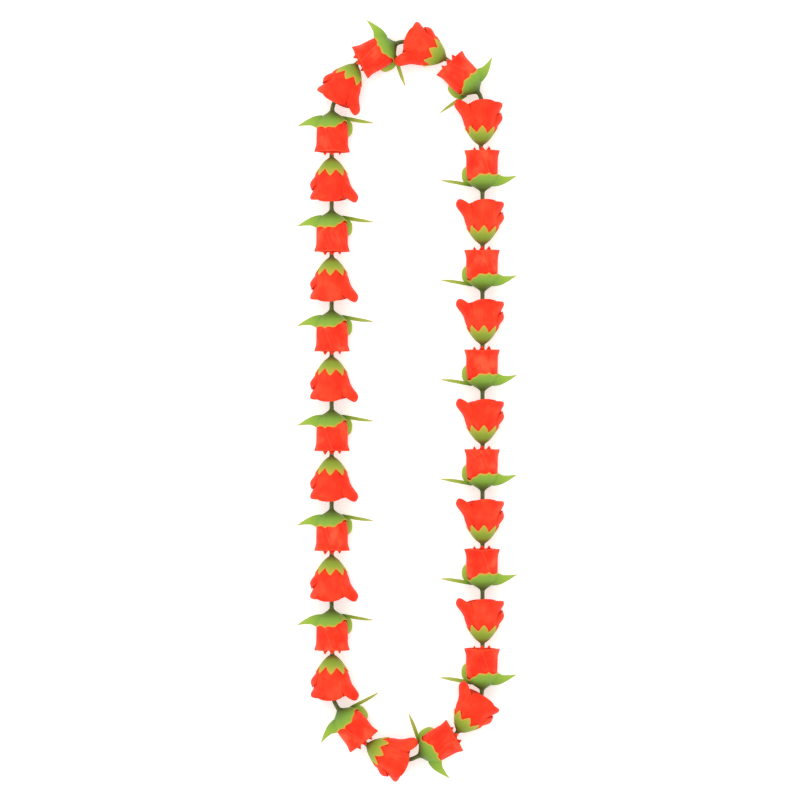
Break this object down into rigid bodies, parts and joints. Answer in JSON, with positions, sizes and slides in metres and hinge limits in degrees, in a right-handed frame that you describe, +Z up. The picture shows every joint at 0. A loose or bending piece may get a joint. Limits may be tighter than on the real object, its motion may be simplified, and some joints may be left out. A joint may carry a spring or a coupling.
{
  "type": "fresh flower lei",
  "caption": "Fresh flower lei: open red roses and rosebuds with leafy green sepals, strung nose to tail in turn on one thread and laid out flat as a long closed loop.",
  "frame": {"origin": "middle of the loop, on the surface that the lei lies on", "axes": "+Z up from the surface, +Y along the loop's long way, +X across it"},
  "size_m": [0.1402, 0.4854, 0.0246],
  "materials": {
    "open_rose": "velvety fresh rose petals, bright orange-red",
    "bud_petals": "smooth tight bud petals, bright orange-red with lighter edges",
    "calyx": "waxy green calyx and sepals, dark at the stem",
    "thread": "twisted cotton string"
  },
  "bodies": {
    "root": {"open_rose_01": "open_rose", "rosebud_01_petals": "bud_petals", "rosebud_01_calyx": "calyx", "open_rose_02": "open_rose", "rosebud_02_petals": "bud_petals", "rosebud_02_calyx": "calyx", "open_rose_03": "open_rose", "rosebud_03_petals": "bud_petals", "rosebud_03_calyx": "calyx", "open_rose_04": "open_rose", "rosebud_04_petals": "bud_petals", "rosebud_04_calyx": "calyx", "open_rose_05": "open_rose", "rosebud_05_petals": "bud_petals", "rosebud_05_calyx": "calyx", "open_rose_06": "open_rose", "rosebud_06_petals": "bud_petals", "rosebud_06_calyx": "calyx", "open_rose_07": "open_rose", "rosebud_07_petals": "bud_petals", "rosebud_07_calyx": "calyx", "open_rose_08": "open_rose", "rosebud_08_petals": "bud_petals", "rosebud_08_calyx": "calyx", "open_rose_09": "open_rose", "rosebud_09_petals": "bud_petals", "rosebud_09_calyx": "calyx", "open_rose_10": "open_rose", "rosebud_10_petals": "bud_petals", "rosebud_10_calyx": "calyx", "open_rose_11": "open_rose", "rosebud_11_petals": "bud_petals", "rosebud_11_calyx": "calyx", "open_rose_12": "open_rose", "rosebud_12_petals": "bud_petals", "rosebud_12_calyx": "calyx", "open_rose_13": "open_rose", "rosebud_13_petals": "bud_petals", "rosebud_13_calyx": "calyx", "open_rose_14": "open_rose", "rosebud_14_petals": "bud_petals", "rosebud_14_calyx": "calyx", "open_rose_15": "open_rose", "rosebud_15_petals": "bud_petals", "rosebud_15_calyx": "calyx", "open_rose_16": "open_rose", "rosebud_16_petals": "bud_petals", "rosebud_16_calyx": "calyx", "thread": "thread", "thread_knot": "thread"}
  },
  "joints": []
}
